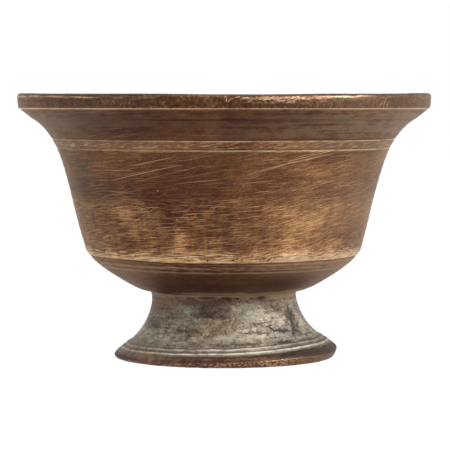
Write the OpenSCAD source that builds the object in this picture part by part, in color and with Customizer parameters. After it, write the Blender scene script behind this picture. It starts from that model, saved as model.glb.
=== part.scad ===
// Small portable baptismal font: a turned, cast-bronze bowl with an integral lip,
// soldered onto a hollow cast foot. The bowl's floor carries a short register ring
// that sits in the foot's neck, and a soft-solder joint fills the seat between them.
// The foot is set on slightly askew, as on the piece this follows, and its lower
// edge is ground level afterwards. Z is up, the floor is z = 0, and the origin is
// on the bowl's axis. Millimetres.

/* [Bowl] */
// Outside diameter over the lip
lip_diameter = 159.7; // [100:0.1:240]
// Height of the whole piece, floor to lip
height = 102; // [80:0.1:160]
// Height of the lip's outer band
lip_band = 5.9; // [3:0.1:12]
// Radius of the rounded top corner of the lip
lip_corner = 1.4; // [0.3:0.1:2.5]
// Width of the lip's flat top face
lip_land = 4.2; // [2:0.1:8]
// Radius of the line where the lip's underside meets the wall
lip_root_radius = 74; // [60:0.1:100]
// Radius of the throat, where the flare under the lip ends
throat_radius = 65.2; // [50:0.1:90]
// Depth of the throat below the top
throat_depth = 19.6; // [14:0.1:30]
// Radius of the wall where the shoulder starts
shoulder_radius = 53.7; // [40:0.1:80]
// Depth of the shoulder below the top
shoulder_depth = 59; // [50:0.1:90]
// Thickness of the bowl's side wall
wall = 3.1; // [2:0.1:6]
// Thickness of the bowl's floor at the middle
floor_thickness = 4.2; // [2.5:0.1:8]

/* [Turned lines] */
// Depth of the upper incised line below the top
line_1_depth = 17.8; // [16:0.1:24]
// Depth of the lower incised line below the top
line_2_depth = 21.2; // [19:0.1:30]
// Width of the two incised lines
line_width = 0.6; // [0.3:0.1:1.5]
// Width of the fine lines on the shoulder
fine_line_width = 0.35; // [0.2:0.05:1]

/* [Foot] */
// Height of the seat between the bowl and the foot
seat_height = 26.1; // [20:0.1:40]
// Outside radius of the foot's neck
neck_radius = 27.9; // [20:0.1:40]
// Radius of the foot where the flare meets the moulded flange
flare_radius = 36.6; // [30:0.1:50]
// Height of that line
flare_height = 7.5; // [5:0.1:12]
// Largest radius of the flange
flange_radius = 43.3; // [35:0.1:60]
// Height of the flange's widest line
flange_height = 2; // [1:0.1:6]
// How far the foot leans, in degrees, with its +X side up
foot_lean = 1.8; // [0:0.1:2.5]
// Width of the ring that the foot stands on
foot_land = 3.6; // [2:0.1:6]
// Radius of the two half-round beads on the flange
bead = 0.55; // [0.3:0.05:1]

/* [Joint] */
// Outside radius of the register ring under the bowl
register_radius = 23.5; // [18:0.1:26]
// Depth of the register ring
register_depth = 3.4; // [2:0.1:6]
// Thickness of the solder film
solder_film = 0.2; // [0.1:0.05:0.5]
// Height of the solder bead down the neck
solder_bead = 2.4; // [0.5:0.1:4]

/* [Hidden] */
$fn = 96;
e = 0.01;
R = lip_diameter / 2;
bronze = [0.48, 0.33, 0.22];
foot_bronze = [0.55, 0.50, 0.44];
solder_grey = [0.72, 0.69, 0.60];

throat_z = height - throat_depth;
shoulder_z = height - shoulder_depth;
land_z = seat_height;
bore_radius = register_radius + solder_film;
neck_top = seat_height - solder_film;

// Slopes of the wall, as radius change over height change
throat_slope = 0.53;
wall_slope = 0.29;
under_slope = 1.62;
seat_slope = 4.1;

// Shoulder's lower end, where the underside turns in towards the seat
under_radius = shoulder_radius - 13.9;
under_z = shoulder_z - 12.8;
seam_radius = neck_radius + 0.7;

// Cubic curve between two points with two handles
function bez(a, b, c, d, n = 8) =
    [for (i = [1:n]) let (t = i / n, s = 1 - t)
        s * s * s * a + 3 * s * s * t * b + 3 * s * t * t * c + t * t * t * d];

function arc(c, r, a0, a1, n = 5) =
    [for (i = [0:n]) let (a = a0 + (a1 - a0) * i / n) c + r * [cos(a), sin(a)]];

// A point on a slope: k is radius over height, l is how far down (+) or up (-)
function along(p, k, l) = p - l * [k, 1];

root_point = [lip_root_radius, height - 9.9];
throat_point = [throat_radius, throat_z];
shoulder_point = [shoulder_radius, shoulder_z];
under_point = [under_radius, under_z];
seam_point = [seam_radius, land_z];

bowl_outside = concat(
    arc([R - lip_corner, height - lip_corner], lip_corner, 90, 0),
    [[R - 0.5, height - lip_band], root_point],
    bez(root_point, along(root_point, 1.96, 2.53), along(throat_point, throat_slope, -1.52), throat_point, 7),
    bez(throat_point, along(throat_point, throat_slope, 9.27), along(shoulder_point, wall_slope, -15.84), shoulder_point, 12),
    bez(shoulder_point, along(shoulder_point, wall_slope, 5.16), along(under_point, under_slope, -3.63), under_point, 9),
    bez(under_point, along(under_point, under_slope, 6.3), along(seam_point, seat_slope, -0.1), seam_point, 8)
);

inner_floor_z = land_z + floor_thickness;
inner_throat = throat_point - [wall + 0.1, -0.6];
inner_shoulder = shoulder_point - [wall, -0.8];
lip_inner = R - lip_corner - lip_land;

bowl_inside = concat(
    [[0, inner_floor_z]],
    [[14, inner_floor_z]],
    bez([14, inner_floor_z], [shoulder_radius - 18.7, inner_floor_z], along(inner_shoulder, wall_slope, 7.5), inner_shoulder, 10),
    bez(inner_shoulder, along(inner_shoulder, wall_slope, -15.8), along(inner_throat, throat_slope, 9.3), inner_throat, 10),
    bez(inner_throat, along(inner_throat, throat_slope, -5.5), [lip_inner - 1.6, height - 5.5], [lip_inner - 1.2, height - 1.2], 7),
    arc([lip_inner, height - 1.2], 1.2, 180, 90, 4)
);

// Radius of the bowl's outside at a height
wall_table = [for (p = bowl_outside) if (p[1] < height - lip_band - 1) [p[1], p[0]]];
function bowl_radius(z) = lookup(z, wall_table);

module ring_cut(r, z, w, d) {
    rotate_extrude() polygon([[r - d, z], [r + 1, z + w / 2 + w / d], [r + 1, z - w / 2 - w / d]]);
}

module bowl() {
    color(bronze) difference() {
        union() {
            rotate_extrude() polygon(concat(
                bowl_inside, bowl_outside,
                [[0, land_z]]));
            // Register ring that centres the bowl in the foot's neck
            translate([0, 0, land_z - register_depth]) difference() {
                cylinder(h = register_depth + 1, r = register_radius);
                translate([0, 0, -1]) cylinder(h = register_depth + 1, r = register_radius - 4);
            }
        }
        // Two incised lines under the flare
        for (d = [line_1_depth, line_2_depth])
            ring_cut(bowl_radius(height - d), height - d, line_width / 2, line_width / 2);
        // Fine lines on the shoulder
        for (d = [3.9, 5.1, 7.2])
            ring_cut(bowl_radius(shoulder_z - d), shoulder_z - d, fine_line_width / 2, fine_line_width / 2);
    }
}

// The foot's own profile, before it is leaned and trimmed
neck_point = [neck_radius, seat_height - 2];
flare_point = [flare_radius, flare_height];
break_point = [flange_radius - 2.5, flange_height + 2.5];
flange_point = [flange_radius, flange_height];

foot_outside = concat(
    [[neck_radius, seat_height + 3], neck_point],
    bez(neck_point, neck_point - [0, 6.1], along(flare_point, 1.36, -3.25) * 1, flare_point, 9),
    [break_point],
    bez(break_point, break_point + [0.2, 0.1], flange_point + [0, 1], flange_point, 6),
    bez(flange_point, flange_point - [0, 1.5], [flange_radius - 1.4, flange_height - 2.8], [flange_radius - 2.1, flange_height - 4.2], 5)
);

foot_inside = concat(
    [[flange_radius - 2.1 - foot_land, flange_height - 4.2]],
    bez([flange_radius - 2.1 - foot_land, flange_height - 4.2], [flange_radius - 3.1 - foot_land, flange_height + 1.7],
        [flare_radius - 5.5, flare_height - 1], [flare_radius - 8.5, flare_height + 2.6], 6),
    bez([flare_radius - 8.5, flare_height + 2.6], [flare_radius - 11, flare_height + 5], [bore_radius - 0.4, seat_height - 12], [bore_radius - 0.4, seat_height - 7], 6),
    [[bore_radius - 0.4, seat_height + 3]]
);

module foot() {
    color(foot_bronze) difference() {
        intersection() {
            translate([0, 0, seat_height]) rotate([0, -foot_lean, 0]) translate([0, 0, -seat_height]) union() {
                rotate_extrude() polygon(concat(foot_outside, foot_inside));
                // Two half-round beads round the flange
                for (k = [0.2, 0.62])
                    let (p = flare_point + k * (break_point - flare_point))
                        rotate_extrude() translate(p - [0.15, 0.15]) circle(r = bead, $fn = 24);
            }
            // Neck faced off square, and lower edge ground level and eased
            rotate_extrude() polygon([
                [0, 0], [flange_radius - 1.2, 0], [flange_radius - 0.8, 0.4], [flange_radius - 0.6, 1],
                [flange_radius + 4, 4], [flange_radius + 4, neck_top], [0, neck_top]]);
        }
        // Socket for the bowl's register ring
        translate([0, 0, seat_height - register_depth - 0.6]) cylinder(h = register_depth + 5, r = bore_radius);
    }
}

module solder_joint() {
    color(solder_grey) union() {
        // Film round the register ring
        translate([0, 0, land_z - register_depth]) difference() {
            cylinder(h = register_depth, r = bore_radius);
            translate([0, 0, -1]) cylinder(h = register_depth + 2, r = register_radius);
        }
        // Film under the bowl's seat
        translate([0, 0, neck_top]) difference() {
            cylinder(h = solder_film, r = neck_radius - 1);
            translate([0, 0, -1]) cylinder(h = solder_film + 2, r = register_radius);
        }
        // Bead in the corner between the underside and the neck
        difference() {
            rotate_extrude() polygon([
                [neck_radius - 1.4, land_z], [seam_radius, land_z],
                along(seam_point, seat_slope, -0.14) , [neck_radius + 0.55, land_z - 0.9],
                [neck_radius + 0.2, land_z - solder_bead], [neck_radius - 1.4, land_z - solder_bead]]);
            foot_space();
        }
    }
}

// What the foot's neck takes up inside the bead
module foot_space() {
    difference() {
        translate([0, 0, seat_height]) rotate([0, -foot_lean, 0]) translate([0, 0, -seat_height])
            rotate_extrude() polygon(concat([[0, seat_height + 3]], foot_outside, [[0, flange_height - 4.2]]));
        translate([-60, -60, neck_top]) cube([120, 120, 20]);
    }
}

bowl();
foot();
solder_joint();
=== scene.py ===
import bpy, math
import numpy as np
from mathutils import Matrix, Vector


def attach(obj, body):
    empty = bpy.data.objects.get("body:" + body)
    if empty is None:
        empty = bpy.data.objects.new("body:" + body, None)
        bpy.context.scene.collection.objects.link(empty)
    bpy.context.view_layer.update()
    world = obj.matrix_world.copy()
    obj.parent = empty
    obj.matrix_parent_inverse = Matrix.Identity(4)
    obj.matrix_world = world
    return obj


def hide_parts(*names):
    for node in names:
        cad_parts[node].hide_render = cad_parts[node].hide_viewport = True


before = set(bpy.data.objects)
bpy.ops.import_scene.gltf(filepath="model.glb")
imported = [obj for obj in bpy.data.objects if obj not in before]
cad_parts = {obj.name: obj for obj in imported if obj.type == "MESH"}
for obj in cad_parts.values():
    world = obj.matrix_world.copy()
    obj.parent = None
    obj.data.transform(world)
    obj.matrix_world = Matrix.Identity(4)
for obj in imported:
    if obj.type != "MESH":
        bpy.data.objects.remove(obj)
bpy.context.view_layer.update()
MM = 0.001

# ------------------------------------------------------------------ camera
cam_data = bpy.data.cameras.new("camera")
cam_data.sensor_width = 36.0
cam_data.lens = 168.0
cam_data.clip_end = 200.0
cam = bpy.data.objects.new("camera", cam_data)
bpy.context.scene.collection.objects.link(cam)
cam.location = (0.00054, -0.8153, 0.09695)
cam.rotation_euler = (math.radians(90 - 3.24), 0, 0)
bpy.context.scene.camera = cam

# ------------------------------------------------------------------ small helpers
def bez(a, b, c, d, n):
    t = np.linspace(0, 1, n + 1)[1:, None]
    a, b, c, d = (np.asarray(p, float) for p in (a, b, c, d))
    s = 1 - t
    return s**3 * a + 3 * s * s * t * b + 3 * s * t * t * c + t**3 * d

def arc(c, r, a0, a1, n):
    a = np.radians(np.linspace(a0, a1, n + 1))
    return np.stack([c[0] + r * np.cos(a), c[1] + r * np.sin(a)], 1)

def on_slope(p, k, l):
    return (p[0] - l * k, p[1] - l)

def spaced(points, step, n=None):
    """The same line with even spacing."""
    p = np.asarray(points, float)
    d = np.r_[0, np.cumsum(np.hypot(*np.diff(p, axis=0).T))]
    keep = np.r_[True, np.diff(d) > 1e-9]
    p, d = p[keep], d[keep]
    n = n or max(1, int(round(d[-1] / step)))
    t = np.linspace(0, d[-1], n + 1)
    return np.stack([np.interp(t, d, p[:, 0]), np.interp(t, d, p[:, 1])], 1)

def smooth(a, b, x):
    t = np.clip((x - a) / (b - a), 0, 1)
    return t * t * (3 - 2 * t)

def bell(x, c, w):
    return np.exp(-(((x - c) / w) ** 2))

rng = np.random.default_rng(41)

def ring_noise(theta, k0, k1, seed, power=1.0):
    """Smooth noise round the piece: a sum of harmonics k0 to k1."""
    g = np.random.default_rng(seed)
    out = np.zeros_like(theta)
    for k in range(k0, k1 + 1):
        out = out + g.normal() / k**power * np.cos(k * theta + g.uniform(0, 2 * np.pi))
    return out / max(1e-9, np.sqrt(sum(0.5 / k ** (2 * power) for k in range(k0, k1 + 1))))

def field_noise(theta, v, radius, cell, seed):
    """Soft value noise over the surface, with no seam."""
    g = np.random.default_rng(seed)
    nu = max(4, int(round(2 * np.pi * radius / cell)))
    nv = 64
    table = g.normal(size=(nu, nv))
    a = (theta / (2 * np.pi) * nu) % nu
    b = (v / cell) % nv
    i, j = np.floor(a).astype(int), np.floor(b).astype(int)
    fa, fb = a - i, b - j
    fa, fb = fa * fa * (3 - 2 * fa), fb * fb * (3 - 2 * fb)
    i, j = i % nu, j % nv
    i2, j2 = (i + 1) % nu, (j + 1) % nv
    return ((table[i, j] * (1 - fa) + table[i2, j] * fa) * (1 - fb)
            + (table[i, j2] * (1 - fa) + table[i2, j2] * fa) * fb)

def lathe(name, rings, closed, pole_start=False, pole_end=False):
    """rings is (n_rings, n_seg, 3) in mm. Quads between rings, with an optional pole at each end."""
    nr, ns, _ = rings.shape
    verts = rings.reshape(-1, 3)
    idx = np.arange(nr * ns).reshape(nr, ns)
    nxt = np.roll(idx, -1, axis=1)
    a = idx[:-1].ravel(); b = nxt[:-1].ravel(); c = nxt[1:].ravel(); d = idx[1:].ravel()
    quads = np.stack([a, b, c, d], 1)
    if closed:
        quads = np.concatenate([quads, np.stack([idx[-1], nxt[-1], nxt[0], idx[0]], 1)])
    faces = quads.tolist()
    verts = verts.tolist()
    if pole_start:
        verts.append(rings[0].mean(0).tolist())
        p = len(verts) - 1
        faces += [[p, int(nxt[0, i]), int(idx[0, i])] for i in range(ns)]
    if pole_end:
        verts.append(rings[-1].mean(0).tolist())
        p = len(verts) - 1
        faces += [[p, int(idx[-1, i]), int(nxt[-1, i])] for i in range(ns)]
    me = bpy.data.meshes.new(name)
    me.from_pydata([[x * MM, y * MM, z * MM] for x, y, z in verts], [], faces)
    me.update()
    me.polygons.foreach_set("use_smooth", [True] * len(me.polygons))
    ob = bpy.data.objects.new(name, me)
    bpy.context.scene.collection.objects.link(ob)
    return ob

def put(ob, name, values):
    n = len(ob.data.vertices)
    full = np.zeros(n, np.float32)
    values = np.asarray(values, np.float32).ravel()
    full[: len(values)] = values
    if n > len(values):
        full[len(values):] = values[-1]
    at = ob.data.attributes.new(name, "FLOAT", "POINT")
    at.data.foreach_set("value", full)

# ------------------------------------------------------------------ bowl shape
H = 102.0
SEAT = 26.1
R = 79.85
root = (74.0, H - 9.9)
throat = (65.2, H - 19.6)
should = (53.7, H - 59.0)
under = (39.8, should[1] - 12.8)
seam = (28.6, SEAT)

lip_c = 1.4
outer_parts = [
    arc((R - lip_c, H - lip_c), lip_c, 90, 0, 8),
    np.array([(R - 0.12, H - 3.4), (R - 0.42, H - 5.55), (R - 0.75, H - 5.95), (R - 1.25, H - 6.2)]),
    np.array([root]),
    bez(root, on_slope(root, 1.96, 2.53), on_slope(throat, 0.53, -1.52), throat, 30),
    bez(throat, on_slope(throat, 0.53, 9.27), on_slope(should, 0.29, -15.84), should, 60),
    bez(should, on_slope(should, 0.29, 5.16), on_slope(under, 1.62, -3.63), under, 40),
    bez(under, on_slope(under, 1.62, 6.3), on_slope(seam, 4.1, -0.1), seam, 24),
]
outer = np.concatenate(outer_parts)

# Even rings, with extra ones where the lip turns and at each cut line
def dense_outer():
    p = spaced(outer, 0.12)
    z = p[:, 1]
    depth = H - z
    near = lambda c, w: np.exp(-np.abs(depth - c) / w)
    want = (0.62 + 1.9 * near(0.6, 1.2) + 1.4 * near(5.9, 0.8) + 0.8 * near(9.9, 0.5) + 2.2 * near(17.8, 0.45) + 2.2 * near(21.2, 0.45)
            + 1.3 * near(62.9, 0.5) + 1.3 * near(64.1, 0.4) + 1.3 * near(66.2, 0.4))
    d = np.r_[0, np.cumsum(np.hypot(*np.diff(p, axis=0).T))]
    w = np.r_[0, np.cumsum(0.5 * (want[1:] + want[:-1]) * np.diff(d))]
    n = 168
    t = np.interp(np.linspace(0, w[-1], n + 1), w, d)
    return np.stack([np.interp(t, d, p[:, 0]), np.interp(t, d, p[:, 1])], 1)

out_p = dense_outer()

floor_z = SEAT + 4.2
in_throat = (throat[0] - 3.2, throat[1] + 0.6)
in_should = (should[0] - 3.1, should[1] + 0.8)
lip_in = R - lip_c - 4.2
inner_line = np.concatenate([
    np.array([(1.2, floor_z), (14.0, floor_z)]),
    bez((14, floor_z), (should[0] - 18.7, floor_z), on_slope(in_should, 0.29, 7.5), in_should, 24),
    bez(in_should, on_slope(in_should, 0.29, -15.8), on_slope(in_throat, 0.53, 9.3), in_throat, 30),
    bez(in_throat, on_slope(in_throat, 0.53, -5.5), (lip_in - 1.6, H - 5.5), (lip_in - 1.2, H - 1.2), 16),
    arc((lip_in, H - 1.2), 1.2, 180, 90, 5)[1:],
])
in_p = spaced(inner_line[:-5], 2.6)
lip_p = np.concatenate([arc((lip_in, H - 1.2), 1.2, 180, 90, 4)[1:], spaced([(lip_in, H), (R - lip_c, H)], 1.0)[1:-1]])
seat_p = np.array([(26.0, SEAT), (23.5, SEAT), (23.5, SEAT - 1.6), (23.3, SEAT - 3.2), (23.0, SEAT - 3.4), (19.9, SEAT - 3.4), (19.5, SEAT - 3.1), (19.5, SEAT - 0.4), (19.0, SEAT), (9.0, SEAT), (1.0, SEAT)])
prof = np.concatenate([in_p, lip_p, out_p, seat_p])
n_in, n_lip, n_out = len(in_p), len(lip_p), len(out_p)
NB = 440
th = np.linspace(0, 2 * np.pi, NB, endpoint=False)      # 0 is the front, +X is +90 degrees
TH, _ = np.meshgrid(th, np.arange(len(prof)))
TS = np.where(TH > np.pi, TH - 2 * np.pi, TH)             # -pi to pi
r0 = prof[:, 0][:, None] + 0 * TH
z0 = prof[:, 1][:, None] + 0 * TH
tang = np.gradient(prof, axis=0)
tang /= np.maximum(1e-9, np.hypot(tang[:, 0], tang[:, 1]))[:, None]
nr_, nz_ = -tang[:, 1][:, None], tang[:, 0][:, None]     # outward normal of the loop
out_mask = np.zeros(len(prof)); out_mask[n_in + n_lip: n_in + n_lip + n_out] = 1
out_mask = out_mask[:, None]
nr_, nz_ = np.where(out_mask > 0, -tang[:, 1][:, None], nr_), np.where(out_mask > 0, tang[:, 0][:, None], nz_)
depth = H - z0
disp = np.zeros_like(r0)
# two incised lines and the fine lines round the shoulder
for c, w, a in ((17.8, 0.30, 0.26), (21.2, 0.27, 0.24), (62.9, 0.22, 0.16), (64.1, 0.2, 0.12), (66.2, 0.25, 0.13)):
    disp -= out_mask * a * (0.85 + 0.15 * ring_noise(TH, 2, 9, int(c * 10))) * bell(depth + 0.05 * ring_noise(TH, 1, 3, int(c * 7)), c, w)
# faint step under the lip, slow waves from hand turning, tool chatter
disp -= out_mask * 0.10 * bell(depth, 10.1, 0.35)
disp += out_mask * 0.05 * np.sin(depth * 2.1) * smooth(12, 20, depth) * (1 - smooth(56, 60, depth))
disp += out_mask * 0.05 * field_noise(TH, z0, 60, 9, 5) * smooth(3, 8, depth)
# shoulder break: worn round, with a crisp edge under it
disp += out_mask * 0.14 * bell(depth, 60.6, 1.3) - out_mask * 0.12 * bell(depth, 62.6, 0.5)
r1 = r0 + nr_ * disp
z1 = z0 + nz_ * disp
# lip: worn and knocked along its top edges
top = 1 - smooth(0.0, 3.4, depth)
lipzone = (r0 > 70)
wear_top = (0.36 * smooth(0.15, 0.75, np.cos(TH)) + 0.55 * bell(TS, 0.10, 0.42) + 0.16 * bell(TS, -0.95, 0.5) + 0.10 * bell(TS, 0.9, 0.35)
            + 0.10 * (0.5 + 0.5 * np.tanh(ring_noise(TH, 3, 24, 12, 0.4))))
z1 = z1 - lipzone * top * wear_top
knocks = [(0.105, 0.022, 0.42), (0.128, 0.015, 0.3), (0.62, 0.018, 0.25), (1.02, 0.014, 0.28), (-0.70, 0.02, 0.25), (-0.33, 0.014, 0.2),
          (1.9, 0.02, 0.4), (2.6, 0.025, 0.35), (-2.2, 0.02, 0.45), (-1.5, 0.015, 0.3), (-2.8, 0.03, 0.3), (0.36, 0.012, 0.2)]
for c, w, a in knocks:
    k = bell(TS, c, w) * bell(depth, 0.3, 1.3) * lipzone * (r0 > 76.5)
    z1 -= a * k
    r1 -= 0.7 * a * k
edge = bell(depth, 5.9, 0.7) * out_mask
r1 -= edge * (0.05 + 0.07 * ring_noise(TH, 5, 40, 31, 0.3)).clip(0, 0.3)
r1 += out_mask * (r0 > 79) * 0.03 * field_noise(TH, z0, 80, 2.6, 77)
# the casting runs very slightly off the lathe's axis
drift = np.interp(depth, [0, 8, 14, 18, 30, 43, 52, 60, 76], [0.2, 0.28, 0.12, 0.0, -0.12, -0.38, -0.26, -0.1, 0.0]) * (r0 > 29)
drift = drift * np.where(out_mask > 0, 1, smooth(30, 60, r0))
x = r1 * np.sin(TH) + drift; y = -r1 * np.cos(TH)
bowl = lathe("bowl_bronze_casting", np.stack([x, y, z1], 2), False, True, True)
put(bowl, "depth", depth)
put(bowl, "inside", (np.arange(len(prof)) < n_in)[:, None] + 0 * TH)

# where the gold has come through, where the patina is dark: (degrees, depth, width in degrees, height, strength)
def patches(items):
    out = np.zeros_like(TS)
    for a, d, wa, wd, s in items:
        out += s * bell(np.degrees(TS), a, wa) * bell(depth, d, wd)
    return out

gold = patches([
    (-41, 44.4, 5.5, 2.6, 0.9), (-38, 49.8, 6.5, 3.2, 0.55), (-29, 43.6, 4.4, 2.2, 0.4), (-16, 54.8, 2.6, 4.6, 0.95), (-12, 45.5, 2.6, 3.8, 0.5),
    (-15, 59.2, 6.0, 1.5, 0.6), (-7, 47.0, 3.2, 2.9, 0.35), (-5, 55.8, 5.0, 3.0, 0.5), (23, 43.5, 6.3, 1.8, 0.5), (30, 48.5, 6.6, 3.8, 0.8),
    (29, 56.2, 6.0, 3.0, 0.85), (38, 47.6, 6.0, 3.2, 0.7), (7, 50.6, 4.0, 2.9, 0.3), (15, 57.4, 3.4, 2.2, 0.4), (45, 42.7, 7.6, 2.9, 0.45),
    (47, 56.5, 8.3, 2.9, 0.4), (-12, 19.7, 4.6, 1.4, 0.6), (-24, 20.4, 8.0, 1.4, 0.45), (-41, 20.4, 8.0, 1.3, 0.4), (25, 20.0, 12.0, 1.6, 0.4),
    (19, 26.3, 11.3, 2.2, 0.3), (36, 30.2, 13.5, 5.4, 0.4), (-58, 55.2, 10.7, 2.9, 0.3), (-22, 58.5, 20.0, 1.2, 0.35), (30, 59.0, 16.0, 1.6, 0.6),
    (105, 44, 14, 5, 0.7), (92, 54, 12, 4, 0.6), (125, 50, 8, 4, 0.7), (150, 46, 10, 4, 0.7), (160, 56, 9, 4, 0.8), (-160, 43, 12, 4, 0.7), (-150, 54, 8, 4, 0.6),
    (-115, 47, 14, 4, 0.8), (-128, 55, 8, 3, 0.6), (-85, 42, 8, 5, 0.5), (-90, 56, 10, 3, 0.4), (125, 26, 16, 3, 0.4), (-140, 24, 18, 3, 0.4), (170, 22, 20, 2, 0.4), (75, 24, 10, 3, 0.3),
])
dark = patches([
    (-27, 37.4, 8.4, 3.4, 0.6), (0, 37.1, 10.0, 3.8, 0.65), (-19, 31.8, 8.5, 2.9, 0.3), (-29, 51.0, 3.6, 2.2, 0.4), (-29, 57.2, 6.1, 2.0, 0.6),
    (4, 54.7, 3.3, 3.6, 0.5), (-59, 28.2, 4.0, 1.8, 0.35), (-59, 45.8, 6.0, 7.2, 0.3), (19, 39.8, 4.8, 1.8, 0.3), (-6, 28.0, 4.3, 2.9, 0.25), (15, 52.9, 3.3, 2.9, 0.3),
    (55, 53.2, 3.5, 5.1, 0.3), (10, 46.0, 3.0, 4.0, 0.2), (-1, 14, 40, 3.0, 0.2),
    (75, 36, 10, 6, 0.4), (132, 34, 12, 6, 0.6), (100, 30, 10, 4, 0.3), (-100, 31, 14, 5, 0.6), (170, 32, 12, 6, 0.5), (-135, 38, 10, 5, 0.4), (-165, 50, 5, 4, 0.5), (112, 57, 6, 3, 0.5), (-105, 54, 5, 4, 0.4),
])
put(bowl, "gold", gold)
put(bowl, "dark", dark)

# ------------------------------------------------------------------ foot shape
LEAN = math.radians(1.8)
f_neck = (27.9, SEAT - 2.0)
f_flare = (36.6, 7.5)
f_break = (40.8, 4.5)
f_max = (43.3, 2.0)
foot_up = np.concatenate([
    np.array([(27.9, SEAT + 0.6), f_neck]),
    bez(f_neck, (27.9, SEAT - 8.1), (f_flare[0] - 4.42, f_flare[1] + 3.25), f_flare, 40),
    np.array([f_break]),
    bez(f_break, (f_break[0] + 0.25, f_break[1] - 0.0), (f_max[0], f_max[1] + 1.0), f_max, 12),
])
foot_low = np.concatenate([np.array([f_max]), bez(f_max, (f_max[0], f_max[1] - 1.5), (f_max[0] - 1.4, f_max[1] - 2.8), (f_max[0] - 2.1, f_max[1] - 4.2), 16)])
f_up = spaced(foot_up, 0.27)
NF = 512
thf = np.linspace(0, 2 * np.pi, NF, endpoint=False)

def lean(xx, yy, zz):
    zc = zz - SEAT
    return xx * math.cos(LEAN) - zc * math.sin(LEAN), yy, xx * math.sin(LEAN) + zc * math.cos(LEAN) + SEAT

tg = np.gradient(f_up, axis=0); tg /= np.hypot(tg[:, 0], tg[:, 1])[:, None]
fn_r, fn_z = -tg[:, 1], tg[:, 0]
T, _ = np.meshgrid(thf, np.arange(len(f_up)))
Tsg = np.where(T > np.pi, T - 2 * np.pi, T)
s_pos = np.r_[0, np.cumsum(np.hypot(*np.diff(f_up, axis=0).T))]
zz0 = f_up[:, 1][:, None] + 0 * T
s0 = s_pos[:, None] + 0 * T
s_flare = np.interp(-f_flare[1], -f_up[:, 1], s_pos)
s_break = np.interp(-f_break[1], -f_up[:, 1], s_pos)
L = s_break - s_flare
q = (s0 - s_flare) / L - 0.15 + 0.11 * smooth(0.15, 0.75, np.sin(T))
dz = np.zeros_like(T)
# two beads with cut lines between and beside them
for c in (0.26, 0.70):
    dz += 0.27 * np.sqrt(np.clip(1 - ((q - c) / 0.17) ** 2, 0, 1)) * (0.9 + 0.1 * ring_noise(T, 3, 20, int(c * 100), 0.5))
for c, a in ((0.05, 0.22), (0.48, 0.22), (0.93, 0.26)):
    dz -= a * bell(q, c, 0.055)
# cast surface, faint turning, and pits under the seam
dz += 0.06 * field_noise(T, zz0, 32, 5, 3) + 0.035 * field_noise(T, zz0, 32, 1.6, 4)
dz += 0.025 * np.sin(zz0 * 4.4 + 1.5 * field_noise(T, zz0, 32, 14, 9)) * (1 - smooth(19, 23, zz0))
pits = [(-0.22, 23.6, 0.018, 0.4, 0.3), (-0.12, 23.5, 0.02, 0.35, 0.3), (-0.03, 23.6, 0.015, 0.35, 0.25), (0.06, 23.4, 0.022, 0.4, 0.3), (0.15, 23.5, 0.015, 0.3, 0.2),
        (0.54, 23.3, 0.045, 0.5, 0.5), (0.60, 23.1, 0.03, 0.4, 0.4), (-0.55, 23.4, 0.03, 0.35, 0.25), (1.8, 23.2, 0.04, 0.5, 0.4), (2.6, 23.4, 0.03, 0.4, 0.3), (-2.0, 23.5, 0.04, 0.4, 0.35), (-2.7, 23.3, 0.03, 0.4, 0.3)]
for c, zc, wa, wz, a in pits:
    dz -= a * bell(Tsg, c, wa) * bell(zz0, zc, wz)
rr = f_up[:, 0][:, None] + fn_r[:, None] * dz
zf = zz0 + fn_z[:, None] * dz
X, Y, Z = lean(rr * np.sin(T), -rr * np.cos(T), zf)
Z = np.minimum(Z, SEAT - 0.2)
upper = np.stack([X, Y, Z], 2)
# below the widest line: run down to the level floor all round
nlow = 12
low = []
topz = upper[-1][:, 2]
for k in range(1, nlow + 1):
    s = k / nlow
    target = topz * (1 - s)
    rad = np.full(NF, f_max[0])
    for _ in range(4):
        own = SEAT + ((target - SEAT) - rad * np.sin(thf) * math.sin(LEAN)) / math.cos(LEAN)
        rad = np.interp(-own, -foot_low[:, 1], foot_low[:, 0])
    ease = (0.25 + 0.45 * np.cos(thf).clip(0, 1) ** 2) * (1 - smooth(0.0, 1.2, target)) ** 2
    rad = rad - ease * (0.9 + 0.25 * ring_noise(thf, 3, 60, 55, 0.4))
    xx, yy, zz = lean(rad * np.sin(thf), -rad * np.cos(thf), own)
    low.append(np.stack([xx, yy, np.maximum(zz, 0)], 1))
low = np.array(low)
low[-1][:, 2] = 0
inner_f = np.concatenate([
    np.array([(37.3, 0.0)]),
    bez((37.3, 0.0), (36.3, 3.7), (31.1, 6.2), (28.1, 9.8), 10),
    bez((28.1, 9.8), (25.6, 12.2), (23.3, SEAT - 12), (23.3, SEAT - 7), 10),
    np.array([(23.3, SEAT - 4.0), (23.7, SEAT - 4.0), (23.7, SEAT - 2), (23.7, SEAT - 0.2)]),
])
ins = []
for rad, z in inner_f:
    xx, yy, zz = rad * np.sin(thf), -rad * np.cos(thf), np.full(NF, z)
    if z < SEAT - 5:
        xx, yy, zz = lean(xx, yy, zz)
    if z == 0.0:
        zz = np.zeros(NF)
    ins.append(np.stack([xx, yy, zz], 1))
ins = np.array(ins)
rings_f = np.concatenate([upper, low, ins])
foot = lathe("foot_bronze_casting", rings_f, True)
own_z = np.concatenate([zz0, np.repeat(np.linspace(1.5, -1.5, nlow)[:, None], NF, 1), np.repeat(inner_f[:, 1][:, None], NF, 1)])
put(foot, "own_z", own_z)
put(foot, "hollow", np.concatenate([0 * zz0, np.zeros((nlow, NF)), np.ones((len(inner_f), NF))]))
qq = np.concatenate([q, np.full((nlow, NF), 3.0), np.full((len(inner_f), NF), 5.0)])
put(foot, "mould", np.clip(qq, -3, 5))

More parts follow.
